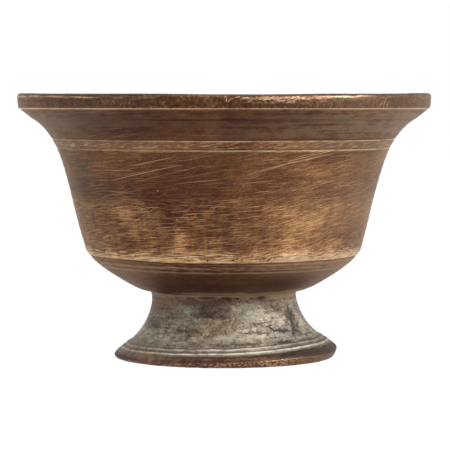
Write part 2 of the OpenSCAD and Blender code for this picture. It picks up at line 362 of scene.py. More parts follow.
# ------------------------------------------------------------------ solder joint
NS = 320
ths = np.linspace(0, 2 * np.pi, NS, endpoint=False)
nz1 = ring_noise(ths, 3, 50, 81, 0.5)
nz2 = ring_noise(ths, 4, 70, 82, 0.4)
bead_prof = [(23.5, SEAT), (26.0, SEAT), (29.2, SEAT + 0.06), (29.3, SEAT - 0.12), (28.9, SEAT - 0.45), (28.45, SEAT - 0.95), (28.2, SEAT - 1.5), (28.03, SEAT - 2.0), (27.93, SEAT - 2.35), (27.7, SEAT - 2.45), (27.3, SEAT - 1.6), (27.0, SEAT - 0.2), (23.7, SEAT - 0.2), (23.7, SEAT - 1.8), (23.7, SEAT - 3.4), (23.5, SEAT - 3.4), (23.5, SEAT - 1.6)]
rs = []
for i, (rad, z) in enumerate(bead_prof):
    f = 1.0 if 2 <= i <= 8 else 0.0
    rad_ = rad + f * (0.07 * nz1 + 0.05 * nz2 * (i % 2))
    z_ = z + f * (i >= 4) * 0.22 * nz2 * (i - 3) / 5.0
    ox = (SEAT - z_) * math.tan(LEAN) if 3 <= i <= 10 else 0.0
    rs.append(np.stack([rad_ * np.sin(ths) + ox, -rad_ * np.cos(ths), z_ + 0 * ths], 1))
solder = lathe("solder_bead", np.array(rs), True)

# ------------------------------------------------------------------ node graph helper
class Graph:
    def __init__(self, name):
        self.mat = bpy.data.materials.new(name)
        self.mat.use_nodes = True
        self.t = self.mat.node_tree
        self.t.nodes.clear()
        self.k = 0

    def node(self, kind, **props):
        n = self.t.nodes.new(kind)
        n.location = ((self.k % 24) * 190, -(self.k // 24) * 260)
        self.k += 1
        for a, b in props.items():
            setattr(n, a, b)
        return n

    def set(self, socket, value):
        if isinstance(value, Sock):
            self.t.links.new(value.s, socket)
        else:
            socket.default_value = value

    def math(self, op, a, b=None, c=None, clamp=False):
        n = self.node("ShaderNodeMath", operation=op, use_clamp=clamp)
        self.set(n.inputs[0], a)
        if b is not None:
            self.set(n.inputs[1], b)
        if c is not None:
            self.set(n.inputs[2], c)
        return Sock(self, n.outputs[0])

    def vec(self, x, y, z):
        n = self.node("ShaderNodeCombineXYZ")
        for i, v in enumerate((x, y, z)):
            self.set(n.inputs[i], v)
        return Sock(self, n.outputs[0])

    def attr(self, name):
        n = self.node("ShaderNodeAttribute", attribute_name=name)
        return Sock(self, n.outputs["Fac"])

    def noise(self, vector, scale=1.0, detail=2.0, rough=0.5, dim="3D", distortion=0.0, colour=False):
        n = self.node("ShaderNodeTexNoise", noise_dimensions=dim)
        self.set(n.inputs["Vector"], vector)
        n.inputs["Scale"].default_value = scale
        n.inputs["Detail"].default_value = detail
        n.inputs["Roughness"].default_value = rough
        n.inputs["Distortion"].default_value = distortion
        return Sock(self, n.outputs["Color" if colour else 0])

    def ramp(self, x, lo, hi, a=0.0, b=1.0, smooth=True):
        n = self.node("ShaderNodeMapRange", interpolation_type="SMOOTHSTEP" if smooth else "LINEAR", clamp=not smooth)
        self.set(n.inputs[0], x)
        self.set(n.inputs[1], lo); self.set(n.inputs[2], hi)
        self.set(n.inputs[3], a); self.set(n.inputs[4], b)
        return Sock(self, n.outputs[0])

    def mix(self, f, a, b, blend="MIX"):
        n = self.node("ShaderNodeMix", data_type="RGBA", blend_type=blend, clamp_factor=True)
        self.set(n.inputs[0], f)
        self.set(n.inputs[6], a if isinstance(a, Sock) else (*a, 1.0))
        self.set(n.inputs[7], b if isinstance(b, Sock) else (*b, 1.0))
        return Sock(self, n.outputs[2])

    def ramp_colour(self, x, stops):
        n = self.node("ShaderNodeValToRGB")
        self.set(n.inputs[0], x)
        e = n.color_ramp.elements
        while len(e) > 1:
            e.remove(e[-1])
        e[0].position = stops[0][0]; e[0].color = (*stops[0][1], 1)
        for pos, c in stops[1:]:
            k = e.new(pos); k.color = (*c, 1)
        return Sock(self, n.outputs[0])

    def turned(self, uv, angle, seed):
        m = self.node("ShaderNodeMapping", vector_type="POINT")
        self.set(m.inputs["Vector"], uv)
        m.inputs["Rotation"].default_value = (0, 0, -math.radians(angle))
        m.inputs["Location"].default_value = (seed * 31.0, seed * 17.0, 0)
        return Sock(self, m.outputs[0])

    def hatch(self, uv, angle, la, wa, seed, detail=1.5):
        """Dense fine rubs la mm long and wa mm wide, at an angle to the level."""
        return self.noise(self.scale(self.turned(uv, angle, seed), (1 / la, 1 / wa, 1)), 1.0, detail, 0.55, dim="2D")

    def scale(self, v, s):
        n = self.node("ShaderNodeVectorMath", operation="MULTIPLY")
        self.set(n.inputs[0], v)
        if isinstance(s, Sock):
            self.set(n.inputs[1], s)
        else:
            n.inputs[1].default_value = s
        return Sock(self, n.outputs[0])

    def bell(self, x, c, w):
        """1 at c, falling to 0 at w either side."""
        d = self.math("ABSOLUTE", x - c)
        return self.ramp(d, 0.0, w, 1.0, 0.0)

    def strokes(self, uv, angle, length, pitch, width, share, seed, jitter=0.25):
        """Separate straight scratches: one in each of some long cells, each at its own slight angle."""
        m = self.node("ShaderNodeMapping", vector_type="POINT")
        self.set(m.inputs["Vector"], uv)
        m.inputs["Rotation"].default_value = (0, 0, -math.radians(angle))
        m.inputs["Location"].default_value = (seed * 13.7, seed * 7.3, 0)
        p = self.scale(Sock(self, m.outputs[0]), (1 / length, 1 / pitch, 1))
        v = self.node("ShaderNodeTexVoronoi", voronoi_dimensions="2D", feature="F1")
        self.set(v.inputs["Vector"], p)
        v.inputs["Scale"].default_value = 1.0
        v.inputs["Randomness"].default_value = 1.0
        d = self.node("ShaderNodeVectorMath", operation="SUBTRACT")
        self.set(d.inputs[0], p)
        self.t.links.new(v.outputs["Position"], d.inputs[1])
        sp = self.node("ShaderNodeSeparateXYZ")
        self.t.links.new(d.outputs[0], sp.inputs[0])
        du, dv = Sock(self, sp.outputs[0]), Sock(self, sp.outputs[1])
        cs = self.node("ShaderNodeSeparateColor")
        self.t.links.new(v.outputs["Color"], cs.inputs[0])
        r1, r2, r3 = (Sock(self, cs.outputs[i]) for i in range(3))
        across = self.math("ABSOLUTE", dv * pitch + (r1 - 0.5) * du * (2 * jitter * length))
        taper = 1.0 - self.math("MINIMUM", self.math("POWER", du * 2.2, 2.0), 1.0)
        w = taper * (r3 * 0.7 + 0.5) * width
        line = self.ramp(across, w * 0.35, w, 1.0, 0.0, smooth=False)
        return line * self.math("LESS_THAN", r2, share) * self.math("GREATER_THAN", taper, 0.02) * (0.45 + 0.55 * r3)

    def marks(self, uv, items):
        """Single named scratches: (u, v, degrees, half length, half width, strength)."""
        total = None
        for u, v, a, hl, hw, s in items:
            m = self.node("ShaderNodeMapping", vector_type="TEXTURE")
            self.set(m.inputs["Vector"], uv)
            m.inputs["Location"].default_value = (u, v, 0)
            m.inputs["Rotation"].default_value = (0, 0, math.radians(a))
            m.inputs["Scale"].default_value = (hl, hw, 1)
            g = self.node("ShaderNodeTexGradient", gradient_type="SPHERICAL")
            self.t.links.new(m.outputs[0], g.inputs[0])
            k = self.math("MULTIPLY", Sock(self, g.outputs["Fac"]), 2.2 * s)
            k = self.math("MINIMUM", k, s)
            total = k if total is None else self.math("MAXIMUM", total, k)
        return total

    def finish(self, colour, rough, metal, height, bump_mm, coat=0.0, spec=0.5, tint=(1, 1, 1)):
        b = self.node("ShaderNodeBsdfPrincipled")
        self.set(b.inputs["Base Color"], colour)
        self.set(b.inputs["Roughness"], rough)
        self.set(b.inputs["Metallic"], metal)
        b.inputs["Specular IOR Level"].default_value = spec
        b.inputs["Specular Tint"].default_value = (*tint, 1)
        if coat:
            b.inputs["Coat Weight"].default_value = coat
            b.inputs["Coat Roughness"].default_value = 0.35
        bm = self.node("ShaderNodeBump")
        bm.inputs["Strength"].default_value = 1.0
        bm.inputs["Distance"].default_value = bump_mm * MM
        self.set(bm.inputs["Height"], height)
        self.t.links.new(bm.outputs[0], b.inputs["Normal"])
        o = self.node("ShaderNodeOutputMaterial")
        self.t.links.new(b.outputs[0], o.inputs[0])
        return self.mat


class Sock:
    def __init__(self, g, s):
        self.g, self.s = g, s
    def __add__(self, o): return self.g.math("ADD", self, o)
    __radd__ = __add__
    def __sub__(self, o): return self.g.math("SUBTRACT", self, o)
    def __rsub__(self, o): return self.g.math("SUBTRACT", o, self)
    def __mul__(self, o): return self.g.math("MULTIPLY", self, o)
    __rmul__ = __mul__
    def clamp(self): return self.g.math("MAXIMUM", self.g.math("MINIMUM", self, 1.0), 0.0)


def surface_coords(g, radius):
    """Millimetre position, height, and distance round the piece from the front."""
    tc = g.node("ShaderNodeTexCoord")
    p = g.scale(Sock(g, tc.outputs["Object"]), (1000, 1000, 1000))
    sp = g.node("ShaderNodeSeparateXYZ")
    g.set(sp.inputs[0], p)
    x, y, z = (Sock(g, sp.outputs[i]) for i in range(3))
    ang = g.math("ARCTAN2", x, y * -1.0)
    u = ang * radius
    return p, x, y, z, u, g.vec(u, z, 0.0)

def lin(r, gg, b):
    f = lambda c: (c / 255 / 12.92) if c / 255 <= 0.04045 else ((c / 255 + 0.055) / 1.055) ** 2.4
    return (f(r), f(gg), f(b))

def shade(c, k):
    return tuple(v * k for v in c)

def bronze(r, gg, b):
    """A brown from the worn bowl: a little warmer than the plain value."""
    c = lin(r, gg, b)
    return (c[0] * 1.05 * K, c[1] * K, c[2] * 0.90 * K)

# ------------------------------------------------------------------ bowl material
K = 0.59
g = Graph("worn bowl bronze")
p, x, y, z, u, uv = surface_coords(g, 60.0)
uf = u * g.ramp(g.math("ABSOLUTE", u), 180.0, 125.0)
dep = g.attr("depth"); a_gold = g.attr("gold"); a_dark = g.attr("dark"); inside = g.attr("inside")
out = 1.0 - inside

mot = g.noise(p, 0.045, 4, 0.6)                      # broad clouds
mot2 = g.noise(g.scale(p, (1, 1, 2.2)), 0.16, 3, 0.6)  # patches of a few millimetres
grain = g.noise(p, 1.2, 2, 0.65)                     # casting grain
spk = g.noise(p, 0.8, 3, 0.7)
M = g.ramp(mot, 0.32, 0.68) - 0.5
M2 = g.ramp(mot2, 0.34, 0.66) - 0.5
G = grain - 0.5

# masks down the profile
lip = g.ramp(dep, 6.1, 5.7) * out
underlip = g.bell(dep, 8.0, 2.4) * out
flare = g.ramp(dep, 17.6, 15.0) * out
wall = g.ramp(dep, 17.4, 18.2) * g.ramp(dep, 61.6, 60.4) * out
lower = g.ramp(dep, 36.0, 42.0)
below = g.ramp(dep + M2 * 0.8, 62.0, 62.9)

# fine rubs: level on the left, climbing to the right on the right
right = g.ramp(uf, -8.0, 22.0)
hl = g.hatch(uv, 4, 9.0, 0.46, 1, 1.0)
hl2 = g.hatch(uv, -1, 6.0, 0.42, 2, 1.0)
hr = g.hatch(uv, 9, 5.5, 0.36, 3, 1.0)
h_soft = g.hatch(uv, 6, 11.0, 1.0, 4, 1.0)
ha = hl + (hr - hl) * right
HB = g.ramp(g.math("MAXIMUM", ha, hl2), 0.50, 0.72)
HD = g.ramp(g.math("MINIMUM", ha, hl2), 0.46, 0.28)
HS = g.ramp(h_soft, 0.36, 0.64) - 0.5
# upright bands of heavier rubbing low on the wall
cols = g.noise(g.scale(uv, (0.30, 0.035, 1)), 1.0, 2, 0.6, dim="2D")
C = (g.ramp(cols, 0.34, 0.66) - 0.5) * lower
# turning rings
turn = g.noise(g.scale(p, (0.02, 0.02, 1.5)), 1.0, 3, 0.65)
TR = g.ramp(turn, 0.34, 0.66) - 0.5

goldk = a_gold + M * 0.22 + M2 * 0.16 * lower + (g.ramp(g.hatch(uv, 20, 6.0, 1.0, 31, 1.5), 0.36, 0.64) - 0.5) * 0.18 * lower
goldk = g.math("MAXIMUM", goldk, 0.0)
band2 = g.ramp(dep, 17.2, 18.0) * g.ramp(dep, 21.6, 20.8) * out
t = 0.37 + M * 0.10 + M2 * 0.06 + HS * 0.05 + TR * 0.06 + G * 0.44 + (spk - 0.5) * 0.16
calm = 1.0 - right * g.ramp(dep, 42.0, 34.0, 0.42, 0.80)
HX = g.ramp(g.hatch(uv, 36, 3.4, 0.42, 32, 1.0), 0.54, 0.72)
k_l = g.math("MAXIMUM", g.strokes(uv, 4, 10.0, 0.95, 0.24, 0.68, 11, 0.05), g.strokes(uv, -1, 5.5, 0.8, 0.20, 0.6, 13, 0.06) * 0.8)
k_r = g.math("MAXIMUM", g.strokes(uv, 12, 8.0, 0.85, 0.22, 0.80, 12, 0.06), g.strokes(uv, 4, 5.0, 0.85, 0.20, 0.6, 16, 0.08) * 0.85)
k_x = g.strokes(uv, 32, 4.5, 1.2, 0.20, 0.45, 14, 0.25)
d_l = g.strokes(uv, 3, 9.0, 1.0, 0.24, 0.6, 17, 0.05)
d_r = g.strokes(uv, 14, 8.5, 1.0, 0.24, 0.6, 18, 0.05)
kb = g.math("MAXIMUM", k_l + (k_r - k_l) * right, k_x * 0.7)
kd = d_l + (d_r - d_l) * right
# farleft marks a band near the left edge; wherever it lightens or greys the colour, that is painted reflection of the
# pale surroundings at the grazing edge
farleft = g.ramp(uf, -30.0, -58.0) * g.ramp(uf, -105.0, -80.0)
place = lower * wall * 0.045 - a_dark * 0.15 + band2 * (0.03 + g.ramp(uf, 10.0, 40.0) * 0.075 + g.ramp(uf, -6.0, -26.0) * 0.07)
# painted light: the g.ramp(uf, 0.0, 55.0) term lightens the wall towards the right, where the key lamp stands, and the
# g.ramp(uf, 5.0, -45.0) term darkens it towards the left; the farleft term is painted reflection near the left edge
place = place + g.ramp(uf, 0.0, 55.0) * 0.04 * wall - g.ramp(uf, 5.0, -45.0) * 0.025 + farleft * (0.015 + lower * 0.055)
place = place - g.bell(uf, -18.0, 20.0) * g.bell(dep, 44.0, 7.0) * 0.11 + g.bell(uf, -16.0, 14.0) * g.bell(dep, 54.5, 6.0) * 0.08 - g.ramp(uf, 25.0, 40.0) * g.bell(dep, 53.0, 7.0) * 0.08
place = place - g.bell(uf, 8.0, 17.0) * (g.bell(dep, 27.0, 8.0) * 0.04 + g.bell(dep, 45.0, 8.0) * 0.05) - g.bell(dep, 45.0, 6.5) * g.bell(uf, -4.0, 27.0) * 0.045
place = place + g.bell(dep, 55.5, 5.0) * (g.bell(uf, -20.0, 15.0) * 0.045 - g.bell(uf, 9.0, 15.0) * 0.105) - g.ramp(uf, -26.0, -36.0) * g.bell(dep, 35.5, 7.0) * 0.085
place = place + g.bell(uf, -15.5, 5.0) * g.bell(dep, 53.0, 8.0) * 0.10 + g.ramp(uf, 12.0, 34.0) * g.bell(dep, 44.0, 8.0) * 0.02 - wall * (0.016 + g.bell(dep, 45.0, 10.0) * g.ramp(uf, -30.0, -14.0) * 0.028)
place = place + flare * (g.ramp(uf, 12.0, 42.0) * 0.075 - g.ramp(uf, -10.0, -60.0) * 0.02 - g.ramp(uf, -16.0, -28.0) * 0.055 - 0.03) - lip * 0.04
# painted shade: the term g.ramp(dep, 66.2, 67.6) * out * 0.12 darkens the underside below the shoulder, which faces the
# floor, away from the lamps
place = place + underlip * (g.ramp(uf, 0.0, 60.0) * 0.14 + farleft * 0.03 - g.bell(uf, 0.0, 50.0) * 0.03 - 0.03) - g.ramp(dep, 66.2, 67.6) * out * 0.12 + inside * 0.02
# under lifts the underside, more on the right; its last term, darker from 69 to 73 mm down, is painted shade
under = 0.05 + (g.ramp(uf, 4.0, 26.0) * 1.6 * g.ramp(dep, 70.0, 66.5) + g.ramp(uf, 20.0, 45.0) * 0.85 + farleft) * 0.07 + g.ramp(uf, -16.0, -36.0) * g.ramp(dep, 68.0, 65.5) * 0.05 + g.ramp(dep, 67.0, 65.5) * 0.02 - g.ramp(dep, 69.0, 73.0) * 0.02
wallc = wall * calm
t = t + place + (below - g.bell(dep, 77.0, 6.0)) * TR * 0.03 + goldk * 0.25 + C * 0.11 * wall + below * under + underlip * (M2 * 0.20 + HS * 0.18)
t = t + (HB * (0.05 + goldk * 0.18 + lower * 0.08) - HD * (0.04 + goldk * 0.08 + lower * 0.07) + HX * (0.02 + goldk * 0.12)) * wallc
ramp_stops = [(0.0, bronze(44, 25, 20)), (0.2, bronze(78, 45, 34)), (0.38, bronze(104, 66, 45)), (0.58, bronze(142, 99, 66)), (0.8, bronze(186, 141, 98)), (1.0, bronze(228, 188, 146))]
col = g.ramp_colour(t, ramp_stops)
# greyer film under the lip, most on the right; its farleft and far-right terms grey the colour towards both side edges
# as painted reflection of the pale surroundings
film_and_edge_sheen = (g.ramp(uf, 10.0, 45.0) * wall * 0.16 + flare * g.ramp(mot2 + TR * 0.3, 0.36, 0.60) * g.ramp(uf, -20.0, 60.0, 0.18, 1.15) + band2 * (g.ramp(uf, -14.0, -36.0) + g.ramp(uf, 12.0, 36.0)) * 0.44 + (farleft * 0.7 + g.ramp(uf, 40.0, 75.0)) * 0.25 * out).clamp()
col = g.mix(film_and_edge_sheen * 0.75, col, bronze(132, 112, 96))
# painted shade: the whole underside below the shoulder is pulled towards a dark brown
col = g.mix(below * 0.35, col, bronze(84, 54, 42))
col = g.mix(below * g.ramp(uf, 8.0, 34.0) * g.ramp(dep, 70.0, 66.5) * 0.5, col, bronze(150, 122, 102))
col = g.mix(below * g.ramp(uf, -24.0, -44.0) * g.ramp(dep, 69.5, 66.5) * 0.30, col, bronze(150, 122, 98))
col = g.mix(underlip * g.bell(uf, 0.0, 56.0) * 0.5, col, bronze(98, 54, 20))
# a small spot of green on the left
spot = g.marks(uv, [(-61.8, 73.6, 0, 2.6, 2.0, 1.0)])
col = g.mix(spot * 0.85, col, bronze(62, 70, 58))

# paler on the right: painted light, where the key lamp on that side falls
col = g.mix(g.ramp(uf, 14.0, 34.0) * g.bell(dep, 45.0, 13.0) * 0.22, col, bronze(178, 144, 112))

# the same rubbing as separate fine lines
k_amt = g.math("MINIMUM", goldk * 0.9 + lower * 0.28 + 0.16, 1.0) * g.ramp(dep, 17.4, 22.0) * g.ramp(dep, 64.0, 61.0) * (0.5 + 0.5 * out)
col = g.mix(kd * (0.18 + lower * 0.40) * g.ramp(dep, 17.4, 22.0) * g.ramp(dep, 63.0, 61.0), col, bronze(78, 47, 33))
col = g.mix(kb * k_amt * 0.85, col, bronze(218, 172, 120))

# longer scratches
s1 = g.strokes(uv, 12, 30.0, 2.4, 0.15, 0.42, 1, 0.06)
s2 = g.strokes(uv, 4, 14.0, 1.3, 0.12, 0.40, 2, 0.10)
s3 = g.strokes(uv, 26, 6.0, 1.5, 0.13, 0.35, 3, 0.35)
zone_s = g.ramp(dep, 8.0, 16.0, 0.2, 1.0) * g.ramp(dep, 62.0, 60.5, 0.2, 1.0) * (0.4 + 0.6 * out)
fade = g.ramp(g.noise(p, 0.05, 2, 0.5), 0.40, 0.60, 0.15, 1.0)
scour = g.math("MINIMUM", goldk, 1.0)
scr = g.math("MAXIMUM", g.math("MAXIMUM", s1 * 0.5, s2 * 0.55), s3 * (0.15 + 0.6 * scour)) * zone_s * fade
named = g.marks(uv, [
    (-30.3, 72.6, 11.7, 19, 0.13, 0.8), (-25.9, 76.9, 10.9, 12.4, 0.13, 0.72), (-40.1, 73.5, -1.0, 8.8, 0.13, 0.59), (-41.1, 65.4, -3.0, 10.6, 0.13, 0.55), (-33.4, 72.6, 10.3, 7.5, 0.12, 0.42),
    (-28.3, 76.1, 9.4, 6.7, 0.12, 0.42), (-8.3, 69.9, 6.2, 11.7, 0.13, 0.42), (17.5, 74.8, 15.4, 11, 0.13, 0.55), (33.8, 78.5, 9.7, 8.3, 0.13, 0.85), (26.6, 76.9, 10.3, 9.5, 0.13, 0.85),
    (27.4, 78.1, 12.0, 7.4, 0.12, 0.75), (30.0, 79.4, 13.0, 7.0, 0.12, 0.75), (37.0, 80.2, 11.0, 7.0, 0.12, 0.75), (21.0, 75.6, 16.0, 6.0, 0.11, 0.45), (12.3, 69.6, 4.6, 9.1, 0.13, 0.42), (33.1, 67.7, 9.9, 10, 0.13, 0.47), (16.1, 59.3, 2.5, 14.3, 0.13, 0.42), (18.3, 57.2, 1.8, 13.3, 0.12, 0.38),
    (13.3, 53.4, 0.0, 7.7, 0.12, 0.42), (22.9, 45.8, 17.7, 4.4, 0.13, 0.51), (36.1, 49.4, 6.8, 12.1, 0.12, 0.38), (-42.7, 64.3, 21.3, 6, 0.12, 0.34), (-36.5, 57.6, 23.0, 9.4, 0.13, 0.42),
    (-33.4, 56.4, 26.2, 8.8, 0.12, 0.42), (-29.1, 55.4, 25.6, 7.9, 0.12, 0.38), (-2.8, 60.5, 39.0, 3.2, 0.13, 0.51), (37.8, 54.8, 12.1, 8.5, 0.12, 0.38), (2.5, 49.1, 3.4, 13.1, 0.12, 0.34),
    (44.1, 44.7, 6.2, 12.5, 0.12, 0.34), (7.6, 79.0, 14.9, 6.1, 0.12, 0.34), (-6.0, 78.9, 13.1, 6.2, 0.12, 0.3), (-45.0, 86.5, 10.0, 9, 0.1, 0.26),
    (-24.6, 66.3, 20, 0.48, 0.22, 0.6), (-21.9, 65.3, 0, 0.36, 0.2, 0.45), (-18.0, 55.8, 90, 0.48, 0.19, 1), (-33.2, 48.6, 0, 0.3, 0.25, 1), (-17.6, 52.0, 0, 0.27, 0.22, 0.8), (55.0, 55.3, 0, 0.54, 0.25, 1),
])
bandrub = g.ramp(g.hatch(uv, 9, 5.0, 0.55, 21, 2.0) + M * 0.08, 0.54, 0.68) * g.bell(dep, 19.6, 2.6) * out
scr = g.math("MAXIMUM", g.math("MAXIMUM", scr, named), bandrub * 0.6)
col = g.mix(scr * 0.8, col, bronze(232, 196, 166))

# shoulder: rubbed bright, then a crisp dark edge, pits, and fine lines below
edge_d = dep + g.ramp(uf, -24.0, -42.0) * 0.55 + g.ramp(uf, 30.0, 46.0) * 0.30
shw = g.ramp(dep + M2 * 1.0 + (HB - 0.5) * 1.3 + G * 2.2, 57.6, 61.4) * g.ramp(edge_d + G * 0.3, 62.60, 62.30) * out
shw = shw * g.ramp(g.noise(p, 0.08, 3, 0.6), 0.28, 0.58, 0.6, 1.0) * (1.0 - g.bell(uf, 12.0, 12.0) * 0.30 * g.ramp(dep, 61.6, 60.4))
shc = g.mix(HB * 0.8 + G * 0.9 + 0.14 + g.ramp(dep, 60.2, 61.6) * 0.25, bronze(172, 124, 82), bronze(250, 216, 170))
shc = g.mix(g.ramp(uf, 16.0, 34.0) * g.ramp(uf, 44.0, 58.0, 1.0, 0.6) * 0.6, shc, shade(lin(255, 220, 182), K * 1.22))
col = g.mix(shw * (0.78 + HB * 0.22), col, shc)
pn = g.noise(g.scale(p, (1, 1, 1.3)), 0.42, 2, 0.5)
pit = g.math("MAXIMUM", g.ramp(pn, 0.665, 0.71) * g.bell(dep, 61.3, 1.9), g.marks(uv, [(4.1, 41.0, 10, 1.1, 0.35, 1.0), (5.6, 41.3, -10, 0.6, 0.3, 0.9), (18.8, 40.7, 40, 0.9, 0.4, 1.0), (19.8, 41.2, 60, 0.8, 0.3, 0.9), (7.5, 41.0, 0, 0.5, 0.25, 0.8), (-9.0, 41.0, 0, 0.9, 0.3, 0.7)])) * out
edgeline = g.bell(edge_d + M2 * 0.15, 62.72, 0.42) * g.ramp(mot2, 0.26, 0.48, 0.6, 1.0) * (1.0 - g.ramp(uf, 14.0, 30.0) * 0.45) * out
col = g.mix(g.math("MAXIMUM", pit * 0.95, edgeline * 0.95), col, bronze(40, 23, 18))
wob = dep + M2 * 0.12
onr = g.ramp(uf, 6.0, 20.0)
fine = g.math("MAXIMUM", g.bell(wob, 66.25, 0.40), g.math("MAXIMUM", g.bell(wob, 64.4, 0.42) * g.ramp(uf, 0.0, -20.0) * 0.8, g.math("MAXIMUM", g.bell(wob, 65.15, 0.36), g.bell(wob, 63.3, 0.34)) * onr * 0.8)) * out
gdark = g.math("MAXIMUM", g.bell(wob, 63.5, 0.45) * (1.0 - onr), g.math("MAXIMUM", g.bell(wob, 65.5, 0.45), g.bell(wob, 67.0, 0.5) * 0.6)) * out
purp = g.ramp(edge_d, 62.5, 63.0) * g.ramp(dep, 66.2, 65.8) * (1.0 - onr) * g.ramp(mot2 + G * 0.4, 0.30, 0.62) * out
col = g.mix(purp * 0.22, col, bronze(92, 58, 52))
streak = g.hatch(uv, 0, 5.0, 0.50, 41, 1.0)
inband = g.bell(dep, 65.0, 3.2) * out
col = g.mix(g.ramp(streak, 0.51, 0.63) * inband * 0.72, col, bronze(168, 126, 98))
col = g.mix(g.ramp(streak, 0.46, 0.34) * inband * 0.32, col, bronze(50, 30, 25))
col = g.mix(gdark * g.ramp(uf, -46.0, -16.0, 0.35, 0.50), col, bronze(50, 30, 23))
col = g.mix(fine * 0.75 * g.ramp(mot2, 0.30, 0.50, 0.45, 1.0), col, bronze(172, 142, 120))
seamdark = g.bell(dep, 76.6, 1.6) * out
col = g.mix(seamdark * 0.2, col, bronze(58, 44, 38))
# dust and a smear of solder up the underside, most on the right
sm_e = dep + M2 * 0.6 + g.ramp(uf, 10.0, 40.0) * 0.4
dust = g.ramp(sm_e, 72.2, 74.9) * g.ramp(uf, -52.0, 12.0, 0.0, 0.9) * out
smear = g.ramp(sm_e, 74.65, 75.15) * g.ramp(uf, -46.0, -14.0) * out
under_m = g.ramp(g.noise(g.scale(p, (1, 1, 2.0)), 0.35, 4, 0.65), 0.50, 0.66) * g.ramp(dep, 66.5, 69.0) * out
col = g.mix(under_m * 0.34, col, bronze(120, 92, 70))
col = g.mix(dust * 0.55, col, bronze(112, 100, 84))
col = g.mix(smear * 0.85 * g.ramp(spk, 0.30, 0.55, 0.6, 1.0), col, bronze(196, 168, 138))

# the two cut lines: pale deposit, broken on the left
lpale = g.ramp(g.noise(g.scale(p, (1, 1, 0.2)), 0.14, 3, 0.6), 0.34, 0.56, 0.25, 1.0) * g.ramp(uf, -50.0, 5.0, 0.55, 1.0)
ln1 = g.bell(dep, 17.75, 0.42) * out; ln2 = g.bell(dep, 21.15, 0.40) * out
lsh = g.math("MAXIMUM", g.bell(dep, 17.1, 0.4), g.bell(dep, 20.55, 0.35)) * out
col = g.mix(lsh * 0.45, col, bronze(62, 42, 34))
col = g.mix(g.math("MAXIMUM", ln1, ln2) * lpale * 0.9, col, bronze(206, 182, 152))
# line where the lip's underside ends
kink = g.bell(dep, 10.05, 0.4) * out
col = g.mix(kink * 0.55, col, bronze(54, 38, 32))

# lip band: upright chatter marks, speckle, and bright edges that are worn metal, partly painted as glints and highlight
chat = g.noise(g.scale(uv, (1.9, 0.25, 1)), 1.0, 3, 0.65, dim="2D")
CH = g.ramp(chat, 0.36, 0.64) - 0.5
lipcol = g.ramp_colour(0.42 + CH * 0.14 + (spk - 0.5) * (0.85 + g.bell(uf, 0.0, 40.0) * 1.60) + G * 0.8 + M * 0.18 + HS * 0.10 + g.ramp(uf, 10.0, 60.0) * 0.12 + g.ramp(uf, -20.0, -60.0) * 0.14 + g.bell(uf, -6.0, 9.0) * g.ramp(dep, 4.0, 2.0) * 0.25 - g.bell(uf, -2.0, 34.0) * 0.06, [(0.0, bronze(46, 32, 27)), (0.3, bronze(76, 54, 44)), (0.5, bronze(98, 67, 50)), (0.72, bronze(134, 99, 74)), (1.0, bronze(190, 152, 120))])
lipcol = g.mix(g.bell(uf, -2.0, 34.0) * 0.48, lipcol, bronze(88, 50, 6))
lipcol = g.mix(g.bell(uf, -35.0, 14.0) * g.ramp(mot2, 0.36, 0.60) * 0.55, lipcol, bronze(84, 68, 60))
lipcol = g.mix(g.ramp(uf, 18.0, 42.0) * 0.48, lipcol, bronze(108, 88, 73))
col = g.mix(lip, col, lipcol)
gs = g.ramp(g.noise(p, 0.3, 3, 0.6) + farleft * 0.05, 0.53, 0.66) * lip
col = g.mix(gs * (0.30 + g.ramp(uf, 15.0, 45.0) * 0.25), col, bronze(112, 98, 88))
wlip = g.node("ShaderNodeVectorMath", operation="MULTIPLY_ADD")
g.set(wlip.inputs[0], g.noise(p, 0.5, 2, 0.5, colour=True)); wlip.inputs[1].default_value = (1.2, 1.2, 0); g.set(wlip.inputs[2], uv)
bent_lip = Sock(g, wlip.outputs[0])
gl_r = g.hatch(uv, 14, 3.0, 0.40, 11, 2.0)
gl_l = g.hatch(uv, 1, 6.0, 0.45, 12, 2.0)
gpatch = g.noise(g.scale(uv, (0.06, 0.12, 1)), 1.0, 2, 0.5, dim="2D")
right_lip = g.ramp(uf, 3.0, 8.0) * g.ramp(uf, 34.0, 24.0)
g1 = g.ramp(gl_l + g.ramp(gpatch, 0.3, 0.7, -0.10, 0.12), 0.50, 0.62) * g.bell(dep + (spk - 0.5) * 1.6, 1.7, 1.0)
g2 = g.ramp(gl_r + g.ramp(gpatch, 0.3, 0.7, -0.08, 0.10), 0.52, 0.64) * g.bell(dep + (spk - 0.5) * 2.4, 2.4, 2.1) * right_lip
hook = g.marks(bent_lip, [(1.4, 100.0, 100, 1.4, 0.18, 0.75), (2.3, 99.6, 58, 1.3, 0.20, 0.75), (3.8, 100.4, 25, 1.4, 0.20, 0.65), (6.2, 100.3, 10, 1.6, 0.3, 0.7), (49.8, 98.9, 66, 1.8, 0.16, 0.6), (51.0, 98.4, 70, 1.6, 0.15, 0.55), (48.2, 98.2, 50, 1.2, 0.15, 0.45), (-27.6, 98.4, 52, 1.5, 0.16, 0.28), (-26.6, 98.4, 58, 1.5, 0.16, 0.28), (-25.4, 98.4, 64, 1.4, 0.16, 0.28), (-24.0, 98.8, 110, 1.2, 0.16, 0.2)])
lline = g.bell(dep + HS * 0.25 - g.ramp(uf, -60.0, -36.0) * 0.4, 1.2, 0.5) * g.ramp(uf, -34.0, -38.0) * g.ramp(gl_l, 0.36, 0.50, 0.45, 1.0)
rline = g.bell(dep + HS * 0.25, 1.9 - g.ramp(uf, 22.0, 44.0) * 1.1, 0.9) * g.ramp(uf, 4.0, 9.0) * g.ramp(uf, 46.0, 38.0) * g.ramp(gl_l, 0.40, 0.54, 0.3, 1.0)
